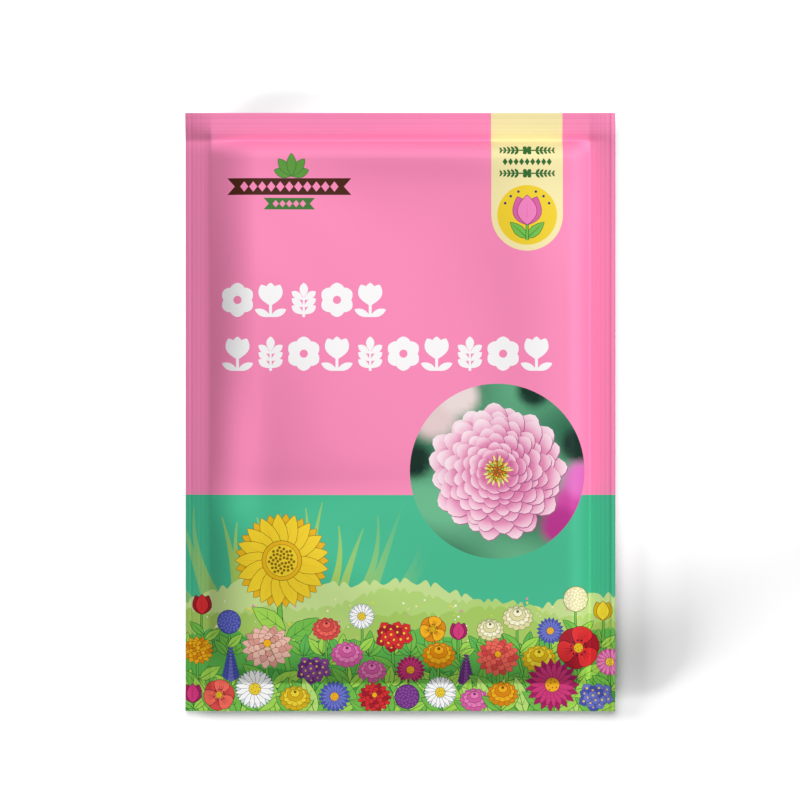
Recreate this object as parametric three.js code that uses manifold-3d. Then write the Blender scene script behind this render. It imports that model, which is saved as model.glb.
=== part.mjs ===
// A flat, heat-sealed seed packet that lies on its back: two printed films, welded to each
// other round all four edges, with loose seeds lying inside on the back film.
// Millimetres. +X is to the right and +Y to the top edge as the front is read, and +Z points
// out of the front. The origin is on the surface below the middle of the packet.
import * as THREE from "three";
import { mergeVertices } from "three/addons/utils/BufferGeometryUtils.js";
import Module from "manifold-3d";

// ---- Driving dimensions
const PACKET_WIDTH = 100.6;
const PACKET_HEIGHT = 140;
const FILM = 0.14; // thickness of one laminated film
const SEAL_SIDE = 6.0; // width of the left and the right seal
const SEAL_END = 6.5; // height of the top and the bottom seal
const FRONT_RISE = 5.3; // how far the front swells above its seals
const BACK_DROP = 2.9; // how far the back swells below its seals, down to the surface

// How far in from each seal the swelling takes to level off.
const FRONT_SHOULDER = { left: 10.9, right: 5, top: 4.6, bottom: 9.3 };
const BACK_SHOULDER = { left: 16, right: 16, top: 14, bottom: 14 };

// How far each seal's cut edge hangs below the crease, or lifts above it if below 0.
const SEAL_SAG = { left: 2.2, right: -1.2, top: 0, bottom: 0.6 };

// Soft swells of the front, and dents where the height is below 0: middle x and y, turn
// in degrees, half-length, half-width and height.
const FRONT_SWELLS = [
  [14, 60.7, -2, 40, 5.6, 1.2],
  [-14, 49.6, -12, 18.4, 11.1, -1.17],
  [33.3, 42.7, 126, 39.6, 13.9, 1.2],
  [-30.2, -17.8, 115, 8.7, 13.8, -1.2],
  [-35.1, -22, 90, 37.5, 6.5, -1.2],
  [-24, -18.9, 3, 34.5, 4.9, -1],
  [-32, -3, 80, 16, 9, -1.4],
  [0, 66, 0, 90, 34, -1.8],
  [33.4, 14, 97, 40, 10.3, 1.2],
  [4.7, 26, 50, 12.7, 7.5, -0.29],
  [-25.9, 38.7, 52, 6.6, 9.8, -0.36],
  [-16, -37.5, -26, 18.7, 8, 1.2],
  [15, -29.3, 12, 40, 11.5, 1.2],
];

// Ribs pressed into the seals: [distance from the outer edge, width]
const RIB_HEIGHT = 0.08;
const RIB_ROOT = 0.05; // depth to which a rib is sunk in the film
const RIB_END_GAP = 0.25; // from a rib's end to the packet's cut edge
const SIDE_RIBS = [
  [0.75, 0.8],
  [2.45, 0.6],
  [3.3, 0.6],
  [4.15, 0.6],
];
const END_RIBS = [
  [1.05, 0.6],
  [2.0, 0.6],
  [3.75, 0.5],
  [4.45, 0.5],
  [5.25, 0.6],
];

const SEED_COUNT = 40;
const SEED_LENGTH = 8.2;
const SEED_WIDTH = 4.0;
const SEED_FLATNESS = 0.27; // thickness over width, before the facets
const SEED_SIDES = 6;
const SEED_SIZE_SPREAD = 0.12; // the largest seed is this share over the mean size
const SEED_CLEARANCE = 0.1; // from a seed to the film that it lies on
const SEED_SPACING = 1.0; // least gap between two seeds of mean size, in the plane
const SEED_SETTLING = 1.3; // 1 spreads the seeds evenly, and more gathers them low down
const SEED_RANDOM = 20260;

// Grid of the films
const SHOULDER_STEPS = 5;
const SHOULDER_CROWDING = 1.4; // 1 spaces the steps evenly, and more crowds the seal
const FRONT_STEPS = { across: 16, along: 26 };
const BACK_STEPS = { across: 1, along: 1 }; // the back is flat between its shoulders
const SLOPE_REACH = 0.05; // how far to each side a slope is measured
const MERGE_DISTANCE = 1e-4;

// ---- Worked out from them
const SEAL_PLANE = BACK_DROP + FILM; // where the two films meet
const HALF_WIDTH = PACKET_WIDTH / 2;
const HALF_HEIGHT = PACKET_HEIGHT / 2;
const BELLY_X = HALF_WIDTH - SEAL_SIDE; // half the unsealed width
const BELLY_Y = HALF_HEIGHT - SEAL_END; // half the unsealed height

// ---- Materials
const printedFilm = new THREE.MeshStandardMaterial({
  color: 0xff8cbb,
  roughness: 0.45,
  metalness: 0,
});
const seedCoat = new THREE.MeshStandardMaterial({
  color: 0x8a7355,
  roughness: 0.85,
  metalness: 0,
});

// ---- Shape of the films

// 0 at a seal, 1 from the shoulder's end inwards, and a quarter of a sine between the two.
function softRise(distance, shoulder) {
  const share = Math.min(Math.max(distance, 0) / shoulder, 1);
  return Math.sin((Math.PI / 2) * share);
}

// The same with a steeper foot and a flatter head: 1 - (1 - share)^2.5.
function steepRise(distance, shoulder) {
  const share = Math.min(Math.max(distance, 0) / shoulder, 1);
  return 1 - (1 - share) ** 2.5;
}

// The product of the four rises at (x, y): 0 on the seals and 1 in the middle.
function plateau(x, y, shoulder) {
  return (
    softRise(x + BELLY_X, shoulder.left) *
    steepRise(BELLY_X - x, shoulder.right) *
    softRise(y + BELLY_Y, shoulder.bottom) *
    steepRise(BELLY_Y - y, shoulder.top)
  );
}

// A swell's height at (x, y): a bell that falls off along and across its own direction.
function swellHeight([middleX, middleY, turn, length, width, height], x, y) {
  const angle = THREE.MathUtils.degToRad(turn);
  const along = (x - middleX) * Math.cos(angle) + (y - middleY) * Math.sin(angle);
  const across = (y - middleY) * Math.cos(angle) - (x - middleX) * Math.sin(angle);
  return height * Math.exp(-((along / length) ** 2) - (across / width) ** 2);
}

// Height of the surface between the two films: level within the creases, and sagging
// evenly from each crease to the cut edge.
function sealLevel(x, y) {
  const share = (distance, seal) => Math.max(distance, 0) / seal;
  return (
    SEAL_PLANE -
    SEAL_SAG.left * share(-BELLY_X - x, SEAL_SIDE) -
    SEAL_SAG.right * share(x - BELLY_X, SEAL_SIDE) -
    SEAL_SAG.bottom * share(-BELLY_Y - y, SEAL_END) -
    SEAL_SAG.top * share(y - BELLY_Y, SEAL_END)
  );
}

function frontOuter(x, y) {
  const swells = FRONT_SWELLS.reduce((sum, swell) => sum + swellHeight(swell, x, y), 0);
  const bulge = (FRONT_RISE + swells) * plateau(x, y, FRONT_SHOULDER);
  return sealLevel(x, y) + FILM + bulge;
}

function backOuter(x, y) {
  return sealLevel(x, y) - FILM - BACK_DROP * plateau(x, y, BACK_SHOULDER);
}

// The film's thickness measured straight up, which grows with the slope.
function uprightThickness(outer, x, y) {
  const reach = SLOPE_REACH;
  const slopeX = (outer(x + reach, y) - outer(x - reach, y)) / (2 * reach);
  const slopeY = (outer(x, y + reach) - outer(x, y - reach)) / (2 * reach);
  return FILM * Math.sqrt(1 + slopeX * slopeX + slopeY * slopeY);
}

function inBelly(x, y) {
  return Math.abs(x) < BELLY_X && Math.abs(y) < BELLY_Y;
}

function frontInner(x, y) {
  if (!inBelly(x, y)) return sealLevel(x, y);
  return Math.max(SEAL_PLANE, frontOuter(x, y) - uprightThickness(frontOuter, x, y));
}

function backInner(x, y) {
  if (!inBelly(x, y)) return sealLevel(x, y);
  return Math.min(SEAL_PLANE, backOuter(x, y) + uprightThickness(backOuter, x, y));
}

// Stations from one cut edge to the other: the seal, close steps up each shoulder, and
// wide steps between them.
function stations(half, belly, lowShoulder, highShoulder, wideSteps) {
  const shares = [];
  for (let i = 0; i <= SHOULDER_STEPS; i++)
    shares.push((i / SHOULDER_STEPS) ** SHOULDER_CROWDING);
  const from = -belly + lowShoulder;
  const to = belly - highShoulder;
  const between = [];
  for (let i = 1; i < wideSteps; i++) between.push(from + ((to - from) * i) / wideSteps);
  return [
    -half,
    ...shares.map((share) => -belly + lowShoulder * share),
    ...between,
    ...shares.map((share) => belly - highShoulder * share).reverse(),
    half,
  ];
}

// A closed sheet over the grid xs by ys, between the heights lower(x, y) and upper(x, y).
function sheetGeometry(xs, ys, lower, upper) {
  const columns = xs.length;
  const rows = ys.length;
  const layer = columns * rows;
  const positions = [];
  for (const height of [lower, upper])
    for (const y of ys) for (const x of xs) positions.push(x, y, height(x, y));
  const at = (column, row, isUpper) => (isUpper ? layer : 0) + row * columns + column;
  const index = [];
  const quad = (a, b, c, d) => index.push(a, b, c, a, c, d);
  for (let j = 0; j < rows - 1; j++)
    for (let i = 0; i < columns - 1; i++) {
      quad(at(i, j, 1), at(i + 1, j, 1), at(i + 1, j + 1, 1), at(i, j + 1, 1));
      quad(at(i, j, 0), at(i, j + 1, 0), at(i + 1, j + 1, 0), at(i + 1, j, 0));
    }
  for (let i = 0; i < columns - 1; i++) {
    quad(at(i, 0, 0), at(i + 1, 0, 0), at(i + 1, 0, 1), at(i, 0, 1));
    const j = rows - 1;
    quad(at(i + 1, j, 0), at(i, j, 0), at(i, j, 1), at(i + 1, j, 1));
  }
  for (let j = 0; j < rows - 1; j++) {
    quad(at(0, j + 1, 0), at(0, j, 0), at(0, j, 1), at(0, j + 1, 1));
    const i = columns - 1;
    quad(at(i, j, 0), at(i, j + 1, 0), at(i, j + 1, 1), at(i, j, 1));
  }
  const geometry = new THREE.BufferGeometry();
  geometry.setAttribute("position", new THREE.Float32BufferAttribute(positions, 3));
  geometry.setIndex(index);
  return geometry;
}

// A three-sided rib that follows the seals: at each place along it, the two feet lie
// RIB_ROOT within the film and the crest RIB_HEIGHT outside it. facing is 1 for the front
// film and -1 for the back. spot(along, across) gives a point of the plane.
function ribGeometry(places, width, spot, facing) {
  const section = [
    [-width / 2, -RIB_ROOT],
    [width / 2, -RIB_ROOT],
    [0, RIB_HEIGHT],
  ];
  const positions = [];
  for (const along of places)
    for (const [across, lift] of section) {
      const [x, y] = spot(along, across);
      positions.push(x, y, sealLevel(x, y) + facing * (FILM + lift));
    }
  const index = [0, 2, 1];
  const end = 3 * (places.length - 1);
  index.push(end, end + 1, end + 2);
  for (let from = 0; from < end; from += 3)
    for (const [a, b] of [
      [0, 1],
      [1, 2],
      [2, 0],
    ])
      index.push(from + a, from + b, from + 3 + b, from + a, from + 3 + b, from + 3 + a);
  const rib = new THREE.BufferGeometry();
  rib.setAttribute("position", new THREE.Float32BufferAttribute(positions, 3));
  rib.setIndex(index);
  return rib;
}

// Every rib of one film.
function sealRibs(facing) {
  const ribs = [];
  const places = (half, belly) => [RIB_END_GAP - half, -belly, belly, half - RIB_END_GAP];
  for (const side of [-1, 1])
    for (const [inset, width] of SIDE_RIBS) {
      const x = side * (HALF_WIDTH - inset);
      const spot = (along, across) => [x + across, along];
      ribs.push(ribGeometry(places(HALF_HEIGHT, BELLY_Y), width, spot, facing));
    }
  for (const end of [-1, 1])
    for (const [inset, width] of END_RIBS) {
      const y = end * (HALF_HEIGHT - inset);
      const spot = (along, across) => [along, y + across];
      ribs.push(ribGeometry(places(HALF_WIDTH, BELLY_X), width, spot, facing));
    }
  return ribs;
}

// ---- Joining
const wasm = await Module();
wasm.setup();

// A solid with its faces outward, whichever way round the geometry's faces are.
function toSolid(geometry) {
  const bare = new THREE.BufferGeometry();
  bare.setAttribute("position", geometry.getAttribute("position"));
  bare.setIndex(geometry.getIndex());
  const merged = mergeVertices(bare, MERGE_DISTANCE);
  const triVerts = new Uint32Array(merged.getIndex().array);
  if (signedVolume(merged) < 0) triVerts.reverse();
  return new wasm.Manifold(
    new wasm.Mesh({
      numProp: 3,
      vertProperties: merged.getAttribute("position").array,
      triVerts,
    }),
  );
}

// Above 0 where the faces look outward.
function signedVolume(geometry) {
  const position = geometry.getAttribute("position");
  const corners = [0, 1, 2].map(() => new THREE.Vector3());
  const index = geometry.getIndex().array;
  let sum = 0;
  for (let i = 0; i < index.length; i += 3) {
    corners.forEach((corner, k) => corner.fromBufferAttribute(position, index[i + k]));
    sum += corners[0].dot(corners[1].cross(corners[2]));
  }
  return sum;
}

function toGeometry(solid) {
  const { vertProperties, triVerts } = solid.getMesh();
  const geometry = new THREE.BufferGeometry();
  geometry.setAttribute("position", new THREE.BufferAttribute(vertProperties, 3));
  geometry.setIndex(new THREE.BufferAttribute(triVerts, 1));
  return geometry;
}

function joined(geometries) {
  return toGeometry(geometries.map(toSolid).reduce((sum, solid) => sum.add(solid)));
}

// ---- The pieces
function frontFilm() {
  const { left, right, bottom, top } = FRONT_SHOULDER;
  const xs = stations(HALF_WIDTH, BELLY_X, left, right, FRONT_STEPS.across);
  const ys = stations(HALF_HEIGHT, BELLY_Y, bottom, top, FRONT_STEPS.along);
  const sheet = sheetGeometry(xs, ys, frontInner, frontOuter);
  const film = new THREE.Mesh(joined([sheet, ...sealRibs(1)]), printedFilm);
  film.name = "film_front";
  return film;
}

function backFilm() {
  const { left, right, bottom, top } = BACK_SHOULDER;
  const xs = stations(HALF_WIDTH, BELLY_X, left, right, BACK_STEPS.across);
  const ys = stations(HALF_HEIGHT, BELLY_Y, bottom, top, BACK_STEPS.along);
  const sheet = sheetGeometry(xs, ys, backOuter, backInner);
  const film = new THREE.Mesh(joined([sheet, ...sealRibs(-1)]), printedFilm);
  film.name = "film_back";
  return film;
}

// One flat seed, pointed at its foot and blunt at its crown, long way along Y.
function seedGeometry() {
  const half = SEED_LENGTH / 2;
  const radius = SEED_WIDTH / 2;
  const profile = [
    [0, -half],
    [0.34 * radius, -0.72 * half],
    [0.74 * radius, -0.18 * half],
    [radius, 0.46 * half],
    [0.72 * radius, 0.86 * half],
    [0, half],
  ].map(([across, along]) => new THREE.Vector2(across, along));
  const seed = new THREE.LatheGeometry(profile, SEED_SIDES);
  seed.scale(1, 1, SEED_FLATNESS);
  seed.computeBoundingBox();
  return seed.translate(0, 0, -seed.boundingBox.min.z);
}

// A seeded source of random numbers from 0 to 1 (mulberry32).
function randomSource(seed) {
  let state = seed;
  return () => {
    state = (state + 0x6d2b79f5) | 0;
    let t = Math.imul(state ^ (state >>> 15), 1 | state);
    t = (t + Math.imul(t ^ (t >>> 7), 61 | t)) ^ t;
    return ((t ^ (t >>> 14)) >>> 0) / 4294967296;
  };
}

// Seeds lie as they fell: on the flat of the back film, more of them low down, and apart.
// Each seed counts as three discs along its length in the test of the gap between two.
function seedPlaces() {
  const random = randomSource(SEED_RANDOM);
  const margin = SEED_LENGTH / 2;
  const spanX = BELLY_X - BACK_SHOULDER.left - margin;
  const lowY = -BELLY_Y + BACK_SHOULDER.bottom + margin;
  const highY = BELLY_Y - BACK_SHOULDER.top - 3 * margin;
  const discSpread = (SEED_LENGTH - SEED_WIDTH) / 2;
  const discs = ({ x, y, turn }) =>
    [-1, 0, 1].map((k) => [
      x - k * discSpread * Math.sin(turn),
      y + k * discSpread * Math.cos(turn),
    ]);
  const places = [];
  while (places.length < SEED_COUNT) {
    const place = {
      x: (2 * random() - 1) * spanX,
      y: lowY + (highY - lowY) * random() ** SEED_SETTLING,
      turn: 2 * Math.PI * random(),
      size: 1 + SEED_SIZE_SPREAD * (2 * random() - 1),
    };
    const isClear = places.every((other) =>
      discs(place).every(([x, y]) =>
        discs(other).every(
          ([u, v]) => Math.hypot(x - u, y - v) > SEED_WIDTH + SEED_SPACING,
        ),
      ),
    );
    if (isClear) places.push(place);
  }
  return places;
}

function seeds() {
  const geometry = seedGeometry();
  return seedPlaces().map(({ x, y, turn, size }, i) => {
    const seed = new THREE.Mesh(geometry, seedCoat);
    seed.name = "seed_" + String(i + 1).padStart(2, "0");
    seed.position.set(x, y, FILM + SEED_CLEARANCE);
    seed.rotation.z = turn;
    seed.scale.setScalar(size);
    return seed;
  });
}

const packet = new THREE.Group();
packet.add(frontFilm(), backFilm(), ...seeds());

export default packet;
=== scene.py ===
"""A flat, heat-sealed packet of printed film, lying on its back, with loose seeds inside.

Shapes and print are worked out in millimetres on the packet's own plane: +X to the right and +Y
to the top edge as the front is read, +Z out of the front. They become metres in make_mesh.
"""

import math

import bpy
import numpy as np
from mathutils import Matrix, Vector
from mathutils.geometry import delaunay_2d_cdt


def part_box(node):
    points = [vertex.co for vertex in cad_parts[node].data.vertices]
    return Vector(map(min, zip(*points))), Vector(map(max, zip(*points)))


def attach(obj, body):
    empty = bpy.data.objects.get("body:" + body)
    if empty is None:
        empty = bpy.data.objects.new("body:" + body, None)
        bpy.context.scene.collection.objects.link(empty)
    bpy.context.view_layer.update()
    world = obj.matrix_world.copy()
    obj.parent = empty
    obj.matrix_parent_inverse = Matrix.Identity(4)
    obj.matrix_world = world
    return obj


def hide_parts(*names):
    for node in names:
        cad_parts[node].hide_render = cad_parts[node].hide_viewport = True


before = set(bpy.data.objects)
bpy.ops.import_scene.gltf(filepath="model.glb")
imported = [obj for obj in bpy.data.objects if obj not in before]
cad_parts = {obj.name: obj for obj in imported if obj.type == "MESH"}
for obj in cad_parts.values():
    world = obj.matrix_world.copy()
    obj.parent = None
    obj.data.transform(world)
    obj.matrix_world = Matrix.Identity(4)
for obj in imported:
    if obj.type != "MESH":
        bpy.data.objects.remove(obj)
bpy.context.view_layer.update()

# ---------------------------------------------------------------- sizes, in millimetres
MM = 0.001
TURN = 2 * math.pi
UP = TURN / 4
GOLDEN_TURN = math.pi * (3 - math.sqrt(5))

_, front_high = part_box("film_front")
HALF_WIDTH = front_high.x / MM
HALF_HEIGHT = front_high.y / MM
FILM = 0.14  # thickness of one film
BACK_DROP = 2.9  # how far the back swells below its seals, down to the floor
SEAL_PLANE = BACK_DROP + FILM  # where the two films meet at the creases
SEAL_SIDE = 6.0
SEAL_END = 6.5
BELLY_X = HALF_WIDTH - SEAL_SIDE
BELLY_Y = HALF_HEIGHT - SEAL_END

FRONT_RISE = 5.3
FRONT_SHOULDER = {"left": 10.9, "right": 5.0, "top": 4.6, "bottom": 9.3}
BACK_SHOULDER = {"left": 16.0, "right": 16.0, "top": 14.0, "bottom": 14.0}
CREASE_ROUNDING = 0.35
STEEP_ROUNDING = 0.15

# Soft swells of the front, and dents where the height is below 0: middle x and y, turn in
# degrees, half-length, half-width and height.
FRONT_SWELLS = [
    (14.0, 60.7, -2, 40.0, 5.6, 1.2),
    (-14.0, 49.6, -12, 18.4, 11.1, -1.17),
    (33.3, 42.7, 126, 39.6, 13.9, 1.2),
    (-30.2, -17.8, 115, 8.7, 13.8, -1.2),
    (-35.1, -22.0, 90, 37.5, 6.5, -1.2),
    (-24.0, -18.9, 3, 34.5, 4.9, -1.0),
    (-32.0, -3.0, 80, 16.0, 9.0, -1.4),
    (0.0, 66.0, 0, 90.0, 34.0, -1.8),
    (33.4, 14.0, 97, 40.0, 10.3, 1.2),
    (4.7, 26.0, 50, 12.7, 7.5, -0.29),
    (-25.9, 38.7, 52, 6.6, 9.8, -0.36),
    (-16.0, -37.5, -26, 18.7, 8.0, 1.2),
    (15.0, -29.3, 12, 40.0, 11.5, 1.2),
]

# Ribs pressed into the seals, and grooves where the height is below 0: distance from the cut
# edge, width and height.
LEFT_RIBS = [
    (1.25, 0.9, -0.055),
    (2.9, 0.8, 0.018),
    (3.9, 0.8, 0.02),
    (4.8, 0.7, 0.014),
]
RIGHT_RIBS = [
    (0.85, 1.1, 0.12),
    (2.1, 0.9, 0.03),
    (3.1, 0.8, 0.022),
    (4.1, 0.8, 0.02),
    (5.0, 0.8, 0.014),
]
END_RIBS = [
    (0.45, 0.8, 0.03),
    (1.45, 0.7, -0.035),
    (2.25, 0.8, 0.028),
    (3.3, 0.65, 0.018),
    (4.1, 0.65, 0.02),
    (4.9, 0.7, 0.02),
]

# How far the seals' cut edges hang below the creases, or lift above them.
SEAL_SAG = {"left": 2.3, "right": -1.9, "top": -0.9, "bottom": 0.6}
LEFT_BEND = 0.3  # further drop just outside the left crease, within LEFT_BEND_REACH
LEFT_BEND_REACH = 0.9
CORNER_FADE = 0.8  # share of the side seals' sag that is gone at the corners
TOP_GUTTER = 0.5  # depth of the hollow along the top crease
GUTTER_WIDTH = 1.3

RIB_STEP = 0.26  # between the films' lines over the ribs
BELLY_STEP = 1.3  # between the films' points in the middle
BORDER_STEP = 1.3  # along the borders of the print
CREASE_STEPS = [0.13, 0.3, 0.55]  # places just inside a crease, from the crease
LINING_PARTS = 8  # of the lining across a seal
SLOPE_REACH = 0.02
SEED_RINGS = 11
SEED_SIDES = 16
MERGE = 0.006  # points of the print nearer than this are one
LINING_MERGE = MERGE / 20  # the same for the lining
TINY = 1e-9  # areas and lengths up to this count as none
CUT_REACH = 3 * MERGE  # rim points nearer than this to the cut edge lie on it


# ---------------------------------------------------------------- colours
def ink_colour(code):
    """A colour given as #rrggbb, as linear red, green and blue."""
    srgb = np.array([int(code[i : i + 2], 16) for i in (1, 3, 5)]) / 255
    return np.where(srgb <= 0.04045, srgb / 12.92, ((srgb + 0.055) / 1.055) ** 2.4)


PINK = ink_colour("#fa8dba")
TEAL = ink_colour("#47bb90")
CREAM = ink_colour("#f4e7ab")
YELLOW = ink_colour("#efcf30")
WHITE = ink_colour("#fbf9fa")
LIGHT_HILL = ink_colour("#c6df91")
PALE_HILL = ink_colour("#b4d578")
HILL = ink_colour("#a6ca62")
MEADOW = ink_colour("#5fb851")
MEADOW_SHADE = ink_colour("#47a043")
LEAF = ink_colour("#a3d954")
LEAF_MID = ink_colour("#74c04c")
PALE_LEAF = ink_colour("#b9e276")
LEAF_EDGE = ink_colour("#23602c")
DARK_GREEN = ink_colour("#2d6a2e")
DARK_BROWN = ink_colour("#4a2313")
CREST_GREEN = ink_colour("#3f7a35")
CREST_LEAF = ink_colour("#5f9c40")
CUT_EDGE = ink_colour("#f4e6ea")
INNER_FILM = ink_colour("#e9e9ec")

# The bloom in the round window.
PETAL_SHADE = ink_colour("#a95a88")
PETAL_DEEP = ink_colour("#d4699d")
PETAL_MIDDLE = ink_colour("#f0a3c6")
PETAL_TIP = ink_colour("#fdeaf0")
PETAL_LINE = ink_colour("#eba0c4")
EYE_BROWN = ink_colour("#9a5a2a")
EYE_LINE = ink_colour("#6b4a14")
RAY = ink_colour("#f3e391")
RAY_EDGE = ink_colour("#a9813a")

SEED_COLOURS = ("#5c4530", "#b39b78")  # the streaks, and between them

# Bloom inks: fill, deeper fill, and the line round each petal.
BLOOM_INKS = {
    "red": ("#d92f33", "#a81c2c", "#5d0f1c"),
    "coral": ("#f2695a", "#d94a47", "#7a2226"),
    "magenta": ("#d23a7c", "#a81f60", "#5b0f3a"),
    "rose": ("#ee82bd", "#d95fa4", "#7c2c62"),
    "blush": ("#f0bfae", "#dc9c8e", "#7d4a48"),
    "purple": ("#8d4a9c", "#6d3283", "#3b174f"),
    "violet": ("#6f78d0", "#4f56b4", "#272b6b"),
    "gold": ("#f6b31c", "#e08a0c", "#7e4705"),
    "lemon": ("#f1d836", "#d9b018", "#7d6209"),
    "cream": ("#fbf6d2", "#e3dca4", "#5f6b3a"),
    "white": ("#ffffff", "#d9e2e6", "#4b6a5a"),
    "sun": ("#f0cf2d", "#e8b51c", "#8a6a0c"),
}
BLOOM_INKS = {name: tuple(map(ink_colour, codes)) for name, codes in BLOOM_INKS.items()}


def mix(first, second, share):
    """First and second mixed by a share from 0 to 1, one colour for each share."""
    share = np.clip(share, 0, 1)[..., None]
    return first * (1 - share) + second * share


# ---------------------------------------------------------------- shape of the films
def past(distance, bend=CREASE_ROUNDING):
    """A distance, or 0 where it is below 0, with a parabola within the bend of 0."""
    near = (np.clip(distance, -bend, bend) + bend) ** 2 / (4 * bend)
    return near + np.maximum(distance - bend, 0)


def soft_rise(distance, shoulder):
    """A quarter of a sine inwards from a seal."""
    return np.sin(TURN / 4 * np.clip(past(distance) / shoulder, 0, 1))


def steep_rise(distance, shoulder):
    """1 - (1 - s)^2.5 inwards from a seal: a steeper foot and a flatter head."""
    return 1 - (1 - np.clip(past(distance, STEEP_ROUNDING) / shoulder, 0, 1)) ** 2.5


def plateau(x, y, shoulder):
    """The product of the four rises: 0 on the seals and 1 in the middle."""
    left = soft_rise(x + BELLY_X, shoulder["left"])
    right = steep_rise(BELLY_X - x, shoulder["right"])
    bottom = soft_rise(y + BELLY_Y, shoulder["bottom"])
    return left * right * bottom * steep_rise(BELLY_Y - y, shoulder["top"])


def smooth(low, high, value):
    """3 s^2 - 2 s^3, with s going from 0 at low to 1 at high."""
    share = np.clip((value - low) / (high - low), 0, 1)
    return share * share * (3 - 2 * share)


def swell(x, y, middle_x, middle_y, turn, length, width, height):
    """A bell h exp(-(u / length)^2 - (v / width)^2), with u along its direction, v across."""
    c, s = math.cos(math.radians(turn)), math.sin(math.radians(turn))
    along = (x - middle_x) * c + (y - middle_y) * s
    across = (y - middle_y) * c - (x - middle_x) * s
    return height * np.exp(-((along / length) ** 2) - (across / width) ** 2)


def seal_level(x, y):
    """Height of the surface between the films: it sags evenly out from each crease, bends
    down at the left crease by b (1 - exp(-d / reach)), has slow waves along the edges and a
    bell-shaped hollow along the top crease."""
    left = past(-BELLY_X - x)
    right = past(x - BELLY_X)
    top = past(y - BELLY_Y) / SEAL_END
    bottom = past(-BELLY_Y - y) / SEAL_END
    sides = (SEAL_SAG["left"] * left + SEAL_SAG["right"] * right) / SEAL_SIDE
    bend = LEFT_BEND * (1 - np.exp(-left / LEFT_BEND_REACH))
    ends = SEAL_SAG["top"] * top + SEAL_SAG["bottom"] * bottom
    sag = sides * (1 - CORNER_FADE * (top + bottom)) + ends
    sag = sag + bend * (1 - smooth(0, 0.6, top + bottom))
    waves = 0.08 * (left + right) / SEAL_SIDE * np.sin(TURN * y / 61 + 0.8)
    waves = waves + 0.07 * (top + bottom) * np.sin(TURN * x / 43 + 2.1)
    hollow = TOP_GUTTER * np.exp(-(((y - BELLY_Y) / GUTTER_WIDTH) ** 2))
    inner = (1 - left / SEAL_SIDE) * (1 - right / SEAL_SIDE)
    return SEAL_PLANE - sag + waves - hollow * inner


def ribs(x, y):
    """Bells cos^2 across each rib, of both directions, so that they cross in the corners."""

    def pressed(distance, crests):
        return sum(
            height * np.cos(math.pi * np.clip((distance - crest) / width, -0.5, 0.5)) ** 2
            for crest, width, height in crests
        )

    sides = pressed(HALF_WIDTH + x, LEFT_RIBS) + pressed(HALF_WIDTH - x, RIGHT_RIBS)
    return sides + pressed(HALF_HEIGHT - np.abs(y), END_RIBS)


def front_skin(x, y):
    """Height of the front film's outside without its ribs."""
    swells = sum(swell(x, y, *numbers) for numbers in FRONT_SWELLS)
    bulge = (FRONT_RISE + swells) * plateau(x, y, FRONT_SHOULDER)
    return seal_level(x, y) + FILM + bulge


def back_skin(x, y):
    """Height of the back film's outside without its ribs: flat where it lies on the floor."""
    return seal_level(x, y) - FILM - BACK_DROP * plateau(x, y, BACK_SHOULDER)


def slopes(height, x, y):
    """The surface's two slopes, by differences over SLOPE_REACH to each side."""
    reach = SLOPE_REACH
    across = (height(x + reach, y) - height(x - reach, y)) / (2 * reach)
    along = (height(x, y + reach) - height(x, y - reach)) / (2 * reach)
    return across, along


def facet_rise(height, x, y):
    """How far a flat facet of the lining can stand off a curved skin: f'' * width^2 / 8."""
    reach = BELLY_STEP
    middle = height(x, y)
    across = (height(x + reach, y) + height(x - reach, y)) / 2 - middle
    along = (height(x, y + reach) + height(x, y - reach)) / 2 - middle
    return np.abs(across) + np.abs(along)


def film_sides(skin, facing):
    """The outside and the inside of one film, as two heights; facing is 1 for the front.

    The outside is the skin with its ribs. The inside lies a film's thickness behind the skin,
    and deeper where a facet of the lining would stand off it, but never past the seal."""

    def outside(x, y):
        return skin(x, y) + facing * ribs(x, y)

    def inside(x, y):
        across, along = slopes(skin, x, y)
        depth = FILM * np.sqrt(1 + across**2 + along**2) + facet_rise(skin, x, y)
        limit = np.maximum if facing > 0 else np.minimum
        return limit(seal_level(x, y), skin(x, y) - facing * depth)

    return outside, inside


# ---------------------------------------------------------------- outlines of printed shapes
def spot(x, y, radius, points=14):
    """A circle."""
    angle = np.linspace(0, TURN, points, endpoint=False)
    return np.stack([x + radius * np.cos(angle), y + radius * np.sin(angle)], 1)


def around(x, y, reach, angle, squash=1.0):
    """The point at a distance and an angle from (x, y), its height times squash."""
    return x + reach * math.cos(angle), y + squash * reach * math.sin(angle)


def spiral(x, y, reach, count, start=0.5):
    """Angles and points over a disc, each a golden turn on from the last. Point k is
    reach sqrt((k + start) / count) from the middle."""
    for k in range(count):
        angle = k * GOLDEN_TURN
        yield angle, around(x, y, reach * math.sqrt((k + start) / count), angle)


def petal(x, y, angle, length, width, points=7, lean=1.3, blunt=0.75):
    """A petal or leaf from its foot: half-width = width / 2 * sin(pi t^lean)^blunt."""
    t = 0.5 - 0.5 * np.cos(np.linspace(0, math.pi, points))
    half = width / 2 * np.sin(math.pi * t**lean).clip(0) ** blunt
    along = np.concatenate([t, t[-2:0:-1]]) * length
    across = np.concatenate([half, -half[-2:0:-1]])
    return placed(np.stack([along, across], 1), x, y, angle)


def placed(outline, x, y, angle):
    """An outline turned by an angle and moved to (x, y)."""
    c, s = math.cos(angle), math.sin(angle)
    return outline @ np.array([[c, s], [-s, c]]) + (x, y)


def ribbon(path, foot_width, head_width):
    """A band along a path, whose width goes evenly from its foot's to its head's."""
    path = np.asarray(path, float)
    along = np.gradient(path, axis=0)
    along /= np.linalg.norm(along, axis=1)[:, None]
    half = np.linspace(foot_width, head_width, len(path))[:, None] / 2
    aside = np.stack([-along[:, 1], along[:, 0]], 1) * half
    return np.concatenate([path + aside, (path - aside)[::-1]])


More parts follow.
